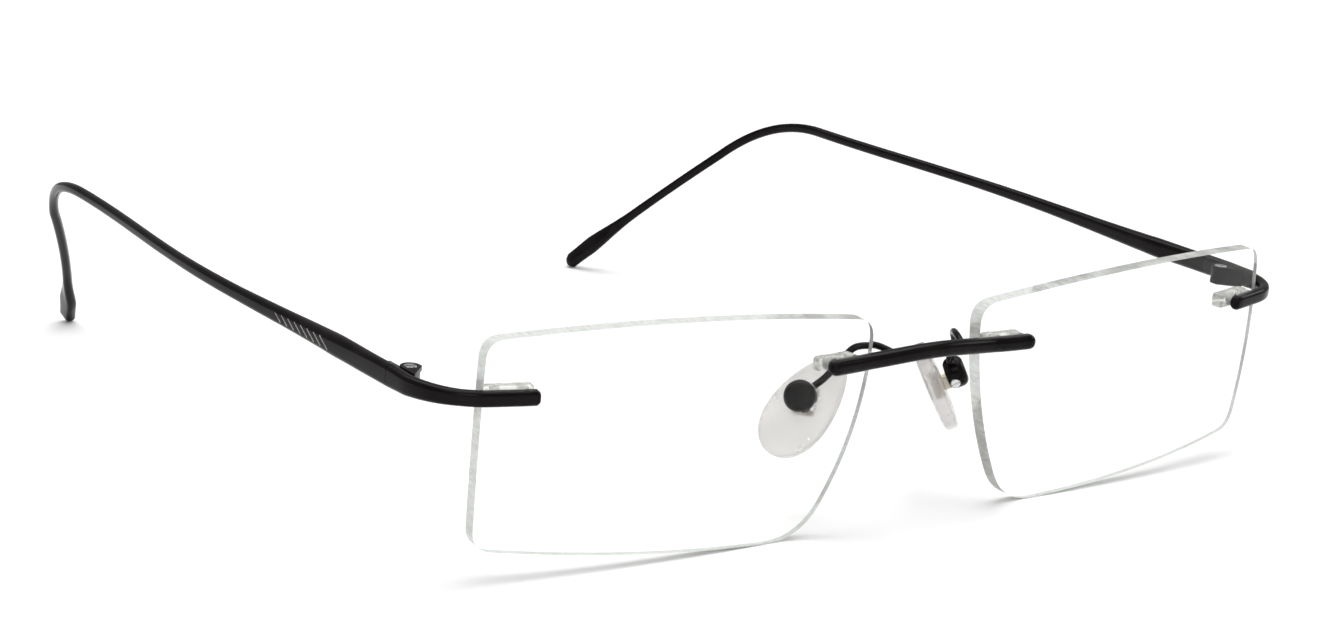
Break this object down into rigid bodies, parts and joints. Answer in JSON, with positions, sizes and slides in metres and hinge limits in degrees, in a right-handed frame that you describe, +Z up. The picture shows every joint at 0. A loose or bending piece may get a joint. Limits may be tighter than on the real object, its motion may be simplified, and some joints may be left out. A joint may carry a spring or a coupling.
{
  "type": "rimless eyeglasses",
  "caption": "Rimless spectacles: clear lenses on a black wire bridge, black endpieces and slim folding temples with curved ear ends, clear nose pads on curled wire arms.",
  "frame": {"origin": "centre of the box round the open spectacles, on the surface they stand on", "axes": "+X to the wearer's left, +Y from the lenses back to the ear ends, +Z up with the lens bottoms and temple tips on Z = 0"},
  "size_m": [0.1334, 0.1516, 0.0295],
  "materials": {
    "black_lacquer": "glossy black lacquer over steel wire and bar",
    "lens_glass": "polished clear lens with a finely ground matt edge",
    "clear_plastic": "clear moulded plastic",
    "clear_silicone": "soft clear silicone",
    "insert_plastic": "slightly yellow hard insert",
    "screw_steel": "bright turned steel"
  },
  "bodies": {
    "front": {"bridge": "black_lacquer", "lens_left": "lens_glass", "lens_plug_nasal_left": "clear_plastic", "lens_plug_temporal_left": "clear_plastic", "endpiece_left": "black_lacquer", "hinge_block_left": "black_lacquer", "hinge_screw_left": "screw_steel", "pad_arm_left": "black_lacquer", "pad_box_left": "black_lacquer", "pad_screw_left": "screw_steel", "lens_right": "lens_glass", "lens_plug_nasal_right": "clear_plastic", "lens_plug_temporal_right": "clear_plastic", "endpiece_right": "black_lacquer", "hinge_block_right": "black_lacquer", "hinge_screw_right": "screw_steel", "pad_arm_right": "black_lacquer", "pad_box_right": "black_lacquer", "pad_screw_right": "screw_steel"},
    "temple_arm_left": {"temple_left": "black_lacquer", "hinge_leaf_left": "black_lacquer"},
    "nose_pad_unit_left": {"nose_pad_left": "clear_silicone", "pad_core_left": "insert_plastic"},
    "temple_arm_right": {"temple_right": "black_lacquer", "hinge_leaf_right": "black_lacquer"},
    "nose_pad_unit_right": {"nose_pad_right": "clear_silicone", "pad_core_right": "insert_plastic"}
  },
  "joints": [
    {"name": "temple_fold_left", "type": "hinge", "parent": "front", "child": "temple_arm_left", "pos_m": [0.0632, -0.05825, 0.02277], "axis": [0, -0.0661, 0.9978], "range_deg": [0, 87]},
    {"name": "temple_fold_right", "type": "hinge", "parent": "front", "child": "temple_arm_right", "pos_m": [-0.0632, -0.05825, 0.02277], "axis": [0, 0.0661, -0.9978], "range_deg": [0, 81]},
    {"name": "pad_rock_left", "type": "hinge", "parent": "front", "child": "nose_pad_unit_left", "pos_m": [0.01252, -0.06416, 0.01506], "axis": [0.5592, 0.8229, 0.1009], "range_deg": [-8, 8]},
    {"name": "pad_rock_right", "type": "hinge", "parent": "front", "child": "nose_pad_unit_right", "pos_m": [-0.01252, -0.06416, 0.01506], "axis": [-0.5592, 0.8229, 0.1009], "range_deg": [-8, 8]}
  ]
}
